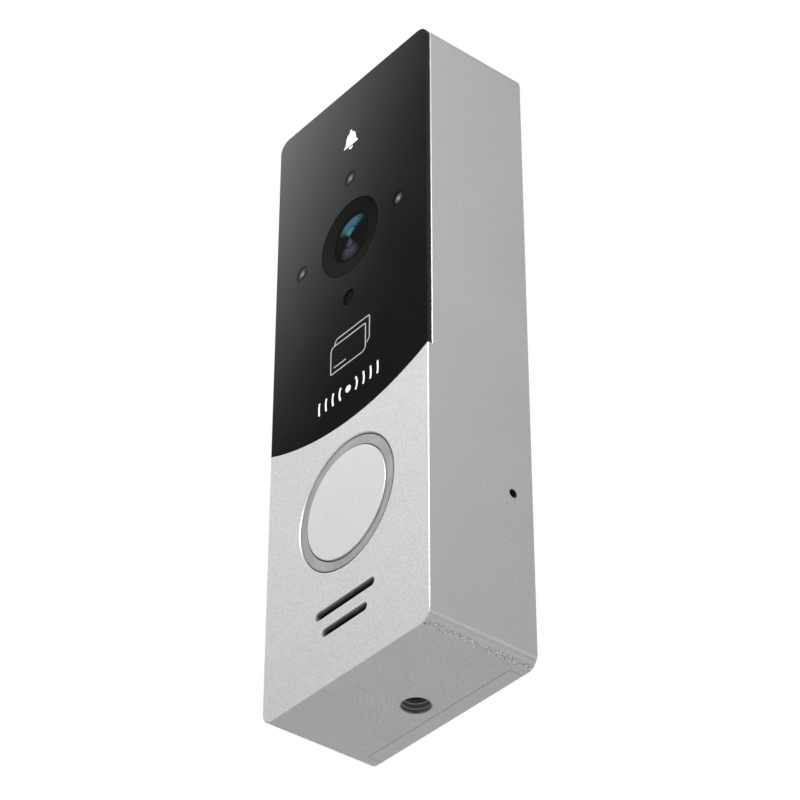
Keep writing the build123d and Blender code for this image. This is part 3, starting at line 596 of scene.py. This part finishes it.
for name, obj in NODES.items():
    dress(obj, LOOKS[SLOT_OF[name]])
dress(NODES["lens_hood"], matt_ring().material)
dress(NODES["lens_front_element"], lens_face().material)
dress(NODES["led_sleeves"], glossy_sleeve().material)
dress(NODES["speaker_grille"], grille_plastic().material)
dress(NODES["light_sensor"], smoked_window().material)
dress(NODES["screw_well"], grainy("well_bush", (0.21, 0.21, 0.213), (0.32, 0.32, 0.323),
                                  (0.3, 0.42), 0.5, 0.12, 0.004, Metallic=0.3).material)


# ---- Piece helpers: sizes in mm, depth measured from the wall ----

def make_object(name, mesh_data, material, body="panel", smooth_angle=35):
    mesh = bpy.data.meshes.new(name)
    mesh_data.to_mesh(mesh)
    mesh_data.free()
    obj = bpy.data.objects.new(name, mesh)
    scene.collection.objects.link(obj)
    mesh.materials.append(material)
    mesh.shade_smooth()
    mesh.set_sharp_from_angle(angle=math.radians(smooth_angle))
    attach(obj, body)
    return obj


def at(x, depth, z):
    return Vector((x * MM, -depth * MM, z * MM))


def turned(name, profile, z, material, steps=96, x=0.0):
    """A solid turned about the depth axis from a closed (radius, depth) outline."""
    shape = bmesh.new()
    loops = []
    for radius, depth in profile:
        if radius < 1e-6:
            loops.append([shape.verts.new(at(x, depth, z))])
        else:
            loops.append([shape.verts.new(at(x + radius * math.cos(math.tau * k / steps), depth,
                                             z + radius * math.sin(math.tau * k / steps)))
                          for k in range(steps)])
    for one, two in zip(loops, loops[1:] + loops[:1]):
        for k in range(steps):
            j = (k + 1) % steps
            corners = [one[k % len(one)], one[j % len(one)], two[j % len(two)], two[k % len(two)]]
            corners = list(dict.fromkeys(corners))
            if len(corners) > 2:
                shape.faces.new(corners)
    bmesh.ops.recalc_face_normals(shape, faces=shape.faces)
    return make_object(name, shape, material)


def arc_points(x, z, radius, start, end, count):
    """Points along an arc, from one angle to another in degrees."""
    return [(x + radius * math.cos(math.radians(start + (end - start) * k / count)),
             z + radius * math.sin(math.radians(start + (end - start) * k / count)))
            for k in range(count + 1)]


INK_FRONT, INK_BACK = GLASS_FRONT + 0.025, GLASS_FRONT - 0.01


def add_stroke(shape, points, width, closed=False):
    """A flat printed line of one width along a path of (x, z) points."""
    count = len(points)
    rows = []
    for k, (x, z) in enumerate(points):
        before = points[k - 1] if closed or k else points[k]
        after = points[(k + 1) % count] if closed or k < count - 1 else points[k]
        into = Vector((x - before[0], z - before[1]))
        out = Vector((after[0] - x, after[1] - z))
        into = into.normalized() if into.length else out.normalized()
        out = out.normalized() if out.length else into
        along = (into + out).normalized()
        side = Vector((-along.y, along.x)) * (width / 2 / max(0.5, along.dot(out)))
        corners = ((1, INK_FRONT), (-1, INK_FRONT), (-1, INK_BACK), (1, INK_BACK))
        rows.append([shape.verts.new(at(x + s * side.x, depth, z + s * side.y))
                     for s, depth in corners])
    for one, two in list(zip(rows, rows[1:])) + ([(rows[-1], rows[0])] if closed else []):
        for k in range(4):
            j = (k + 1) % 4
            shape.faces.new([one[k], one[j], two[j], two[k]])
    if not closed:
        shape.faces.new(rows[0])
        shape.faces.new(rows[-1][::-1])


def add_patch(shape, outline):
    """A flat printed shape inside a closed outline of (x, z) points."""
    front = [shape.verts.new(at(x, INK_FRONT, z)) for x, z in outline]
    back = [shape.verts.new(at(x, INK_BACK, z)) for x, z in outline]
    shape.faces.new(front)
    shape.faces.new(back[::-1])
    for k in range(len(outline)):
        j = (k + 1) % len(outline)
        shape.faces.new([front[k], front[j], back[j], back[k]])


def print_piece(name, shape, material):
    bmesh.ops.recalc_face_normals(shape, faces=shape.faces)
    return make_object(name, shape, material)


def ink(name, dark, light):
    """Screen-printed ink: slightly uneven in tone, with a dry, faintly pitted skin."""
    look = Look(name, IOR=1.4)
    film = look.noise(0.25, 3, 0.6)
    look.color(film, dark, light)
    look.rough(look.noise(0.6, 2), 0.45, 0.6)
    look.bump(film, 0.004)
    return look.material


WHITE_INK = ink("white_ink", (0.80, 0.80, 0.80), (0.92, 0.92, 0.92))
GREY_INK = ink("grey_ink", (0.34, 0.34, 0.34), (0.42, 0.42, 0.42))


# ---- Printed marks on the window ----

def bell_mark():
    """A small call bell, in the middle near the top."""
    shape = bmesh.new()
    foot, scale = 54.75, 0.80
    right = [(2.75, 0.0), (2.75, 0.45), (2.15, 1.05), (1.95, 1.75), (1.85, 2.55)]
    dome = arc_points(0, foot + 2.55 * scale, 1.85 * scale, 0, 180, 20)
    outline = [(x * scale, foot + z * scale) for x, z in right[:-1]] + dome
    outline += [(-x * scale, foot + z * scale) for x, z in right[-2::-1]]
    add_patch(shape, outline)
    add_patch(shape, arc_points(0, foot + 4.8 * scale, 0.45 * scale, 0, 342, 19))
    add_patch(shape, arc_points(0, foot - 0.45 * scale, 0.8 * scale, 180, 360, 12))
    return print_piece("print_bell", shape, WHITE_INK)


def card_corner(x, z, radius, start):
    return arc_points(x, z, radius, start, start + 90, 6)


def card_marks():
    """Two reader cards, one in front of the other, in thin lines."""
    shape = bmesh.new()
    left, right, low, high = -5.35, 5.35, -1.0, 5.5
    small, large = 0.45, 1.1
    front = card_corner(right - large, low + large, large, 270)
    front += card_corner(right - small, high - small, small, 0)
    front += card_corner(left + large, high - large, large, 90)
    front += card_corner(left + small, low + small, small, 180)
    add_stroke(shape, front, 0.3, closed=True)
    shift, top = 1.2, 6.85
    back = [(left + shift, high + 0.15)]
    back += card_corner(left + shift + large, top - large, large, 90)[::-1]
    back += card_corner(right + shift - small, top - small, small, 0)[::-1]
    lower = low + large + 0.75
    back += card_corner(right + shift - large, lower + large - 0.2, large, 270)[::-1]
    add_stroke(shape, back, 0.3)
    add_stroke(shape, [(-4.4, 0.3), (-0.65, 0.3)], 0.3)
    return print_piece("print_cards", shape, GREY_INK)


def wave_marks():
    """Radio waves spreading from a dot, in the band below the cards."""
    shape = bmesh.new()
    middle_x, middle_z, half = 0.2, -7.35, 1.5
    for radius in (2.7, 4.8, 6.9, 9.0):
        swing = math.degrees(math.asin(half / radius))
        for centre in (0, 180):
            add_stroke(shape, arc_points(middle_x, middle_z, radius, centre - swing,
                                         centre + swing, 10), 0.5)
    add_patch(shape, arc_points(middle_x, middle_z, 0.8, 0, 345, 23))
    return print_piece("print_waves", shape, WHITE_INK)


bell_mark()
card_marks()
wave_marks()


# ---- Lamp faces ----

LAMP_RIM_R = 1.2


def lamp_centres():
    """Middles of the infrared lamps, from the separate parts of their CAD solid."""
    points = [v.co for v in NODES["ir_leds"].data.vertices]
    found = []
    for p in points:
        near = [c for c in found if (Vector((p.x, p.z)) - c[0] / c[1]).length < 4 * MM]
        if near:
            near[0][0] += Vector((p.x, p.z))
            near[0][1] += 1
        else:
            found.append([Vector((p.x, p.z)), 1])
    middles = []
    for total, count in found:
        rough = total / count
        own = [p for p in points if (Vector((p.x, p.z)) - rough).length < 4 * MM]
        middles.append(((min(p.x for p in own) + max(p.x for p in own)) / 2 / MM,
                        (min(p.z for p in own) + max(p.z for p in own)) / 2 / MM))
    return sorted(middles)


def lamp_faces():
    paint = lamp_face().material
    outline = [(1.02, 24.53), (1.16, 24.78), (LAMP_RIM_R, 24.84), (1.1, 24.87), (0.85, 24.91),
               (0.45, 24.94), (0, 24.95), (0, 24.90), (0.5, 24.78), (0.85, 24.55)]
    for number, (x, z) in enumerate(lamp_centres()):
        face = turned(f"lamp_face.{number}", outline, z, paint, steps=48, x=x)
        # How far each point lies from the lamp's middle, for its painted glow.
        painted_glow_radius = face.data.attributes.new("painted_glow_radius", "FLOAT", "POINT")
        for vertex, value in zip(face.data.vertices, painted_glow_radius.data):
            value.value = math.hypot(vertex.co.x / MM - x, vertex.co.z / MM - z) / LAMP_RIM_R


lamp_faces()


# ---- Camera trims: thin black rings that close the gaps round the hood and the lens ----

def camera_trims():
    # The trims share the hood's painted light and shade.
    paint = matt_ring().material
    for name, inner, outer, back, front in (("hood_trim", 8.86, 8.94, 24.0, 24.93),
                                            ("lens_trim", 5.41, 5.54, 23.6, 24.42)):
        turned(name, [(inner, back), (outer, back), (outer, front), (inner, front)], LENS_Z, paint,
               steps=128)


camera_trims()


# ---- The button's spring, copied from its CAD part ----

def coil_spring():
    obj = bpy.data.objects.new("spring_coil", NODES["button_spring"].data.copy())
    scene.collection.objects.link(obj)
    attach(obj, "panel")
    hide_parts("button_spring")
    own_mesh(obj)


coil_spring()


# ---- Room: backdrop, light and camera ----

def backdrop():
    """White to the camera. For light and reflections: a large soft box up and to the left,
    a dark card in front of the object, and a pale room elsewhere."""
    world = bpy.data.worlds.new("studio")
    scene.world = world
    world.use_nodes = True
    tree = world.node_tree
    tree.nodes.clear()

    def node(kind, **values):
        made = tree.nodes.new(kind)
        for key, value in values.items():
            setattr(made, key, value)
        return made

    def along(direction):
        dot = node("ShaderNodeVectorMath", operation="DOT_PRODUCT")
        dot.inputs[1].default_value = Vector(direction).normalized()
        tree.links.new(place.outputs["Generated"], dot.inputs[0])
        return dot.outputs["Value"]

    def span(value, start, end, low, high, smooth=False):
        made = node("ShaderNodeMapRange", interpolation_type="SMOOTHSTEP" if smooth else "LINEAR")
        for socket, number in (("From Min", start), ("From Max", end),
                               ("To Min", low), ("To Max", high)):
            made.inputs[socket].default_value = number
        tree.links.new(value, made.inputs["Value"])
        return made.outputs["Result"]

    def calc(operation, first, second):
        made = node("ShaderNodeMath", operation=operation)
        for socket, value in zip(made.inputs, (first, second)):
            if isinstance(value, (int, float)):
                socket.default_value = value
            else:
                tree.links.new(value, socket)
        return made.outputs["Value"]

    place = node("ShaderNodeTexCoord")
    rise = span(along(BOX_DIRECTION), BOX_EDGE, BOX_EDGE + BOX_FADE, 0, 1)
    soft_box = calc("MULTIPLY", calc("POWER", rise, BOX_CURVE), BOX_POWER)
    room = span(along(CARD_DIRECTION), math.cos(math.radians(CARD_OUTER)),
                math.cos(math.radians(CARD_INNER)), ROOM_LEVEL, 0.0, smooth=True)
    total = calc("ADD", soft_box, room)
    path = node("ShaderNodeLightPath")
    mix = node("ShaderNodeMix", data_type="FLOAT")
    tree.links.new(path.outputs["Is Camera Ray"], mix.inputs["Factor"])
    tree.links.new(total, mix.inputs[2])
    mix.inputs[3].default_value = 1.0
    background = node("ShaderNodeBackground")
    background.inputs["Color"].default_value = (1, 1, 1, 1)
    tree.links.new(mix.outputs[0], background.inputs["Strength"])
    tree.links.new(background.outputs["Background"],
                   node("ShaderNodeOutputWorld").inputs["Surface"])


BOX_DIRECTION = (-0.71, -0.07, 0.70)
BOX_EDGE, BOX_FADE, BOX_CURVE, BOX_POWER = 0.90, 0.03, 2.4, 2.4
CARD_DIRECTION = (-0.45, -0.80, 0.40)
CARD_INNER, CARD_OUTER, ROOM_LEVEL = 32, 62, 0.3
backdrop()


def lamp(name, place, aim, size, watts):
    light = bpy.data.lights.new(name, "AREA")
    light.shape = "DISK"
    light.size = size
    light.energy = watts
    obj = bpy.data.objects.new(name, light)
    obj.location = place
    obj.rotation_euler = (Vector(aim) - Vector(place)).to_track_quat("-Z", "Y").to_euler()
    scene.collection.objects.link(obj)
    return obj


LAMPS = [("key", (0.12, -0.22, 0.10), (0.0, -0.02, -0.02), 0.08, 0.63, True),
         ("front_fill", (0.05, -0.50, 0.0), (0.0, 0.0, 0.0), 0.30, 0.84, False),
         ("side_fill", (1.0, 0.30, 0.30), (0.0, 0.0, 0.0), 0.80, 0.80, True),
         ("back_left", (-0.90, 0.80, 0.35), (0.0, 0.0, 0.0), 0.80, 3.0, True)]
for name, place, aim, size, watts, glossy in LAMPS:
    made = lamp(name, place, aim, size, watts)
    made.visible_glossy = glossy
    made.visible_camera = False


def floor():
    """A pale floor well below the wall-mounted panel: it fades into the backdrop, and is clear
    from below."""
    level, reach, steps = -0.42, 3.0, 64
    shape = bmesh.new()
    rim = [shape.verts.new((reach * math.cos(math.tau * k / steps),
                            reach * math.sin(math.tau * k / steps), level)) for k in range(steps)]
    shape.faces.new(rim)
    mesh = bpy.data.meshes.new("studio_floor")
    shape.to_mesh(mesh)
    shape.free()
    obj = bpy.data.objects.new("studio_floor", mesh)
    scene.collection.objects.link(obj)
    look = Look("floor_paint", Roughness=0.9)
    look.color(look.noise(60.0, 2), (0.794, 0.794, 0.794), (0.806, 0.806, 0.806))
    radius = look.node("ShaderNodeVectorMath", operation="LENGTH")
    look.link(look.stretched((1, 1, 0)), radius.inputs[0])
    cover = look.span(radius.outputs["Value"], 1.0, 0.0, 0.5, 2.6)
    seen = look.node("ShaderNodeMix", data_type="FLOAT")
    look.link(look.node("ShaderNodeNewGeometry").outputs["Backfacing"], seen.inputs["Factor"])
    look.link(cover, seen.inputs[2])
    seen.inputs[3].default_value = 0.0
    look.link(seen.outputs[0], look.shader.inputs["Alpha"])
    mesh.materials.append(look.material)


floor()


CAMERA_PLACE = (0.3570, -0.3042, -0.3478)
CAMERA_FORWARD, CAMERA_RIGHT = (-0.6204, 0.5077, 0.5978), (0.6338, 0.7735, 0.0008)
SENSOR_WIDTH, FOCAL_LENGTH = 36.0, 133.56


def camera():
    """Low and to the right, looking up at the panel."""
    data = bpy.data.cameras.new("camera")
    data.sensor_width, data.lens = SENSOR_WIDTH, FOCAL_LENGTH
    data.clip_start, data.clip_end = 0.01, 20.0
    obj = bpy.data.objects.new("camera", data)
    forward = Vector(CAMERA_FORWARD).normalized()
    right = Vector(CAMERA_RIGHT)
    right = (right - forward * right.dot(forward)).normalized()
    up = right.cross(forward)
    turn = Matrix((right, up, -forward)).transposed().to_4x4()
    obj.matrix_world = Matrix.Translation(CAMERA_PLACE) @ turn
    scene.collection.objects.link(obj)
    scene.camera = obj


camera()
